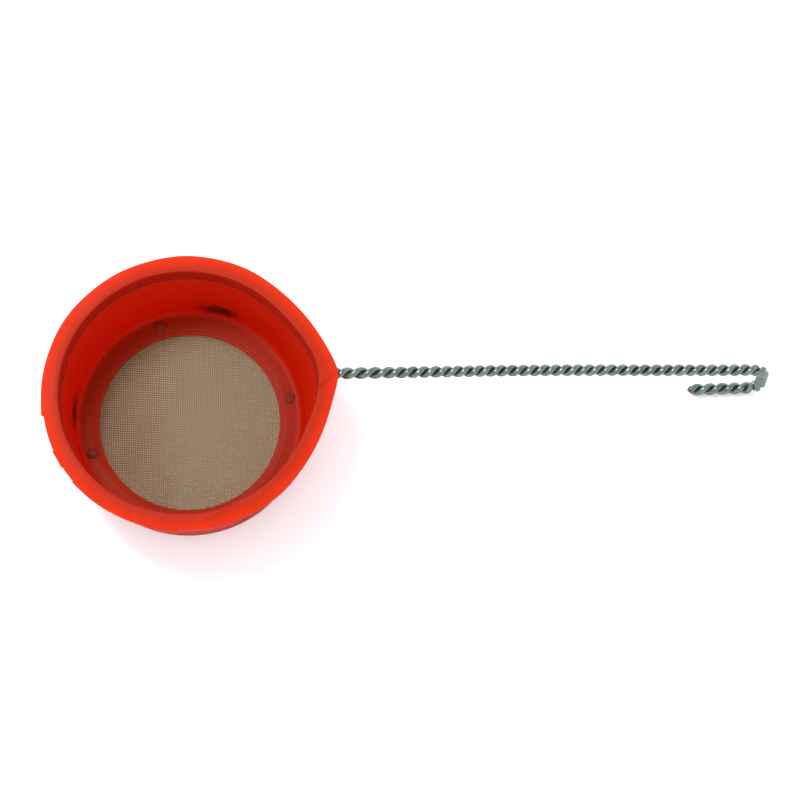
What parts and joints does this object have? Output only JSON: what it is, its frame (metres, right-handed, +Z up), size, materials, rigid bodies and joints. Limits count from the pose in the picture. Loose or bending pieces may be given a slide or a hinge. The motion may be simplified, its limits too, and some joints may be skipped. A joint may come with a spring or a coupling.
{
  "type": "dipping strainer cup",
  "caption": "Round tapered plastic cup with a woven wire screen floor, a soft covered rim and a long twisted wire handle ending in a hanging hook.",
  "frame": {"origin": "on the cup's axis, in the plane that the cup's foot stands on, which is the mouth of the outlet bore", "axes": "+Z up the cup's axis towards its mouth, +X along the handle away from the cup"},
  "size_m": [0.2354, 0.0912, 0.0384],
  "materials": {
    "cup_plastic": "moulded, slightly translucent, satin gloss",
    "rim_vinyl": "soft vinyl, satin, lumpy at its laps",
    "screen_cloth": "plain woven wire cloth, dull",
    "rivet_metal": "dull, tarnished",
    "galvanised_wire": "zinc coated, greyish green, bright on the crests"
  },
  "bodies": {
    "root": {"cup_body": "cup_plastic", "screen_disc": "screen_cloth", "clamp_ring": "cup_plastic", "screen_rivets": "rivet_metal", "rim_cover": "rim_vinyl", "wire_hoop": "galvanised_wire", "handle_strand_a": "galvanised_wire", "handle_strand_b": "galvanised_wire"}
  },
  "joints": []
}
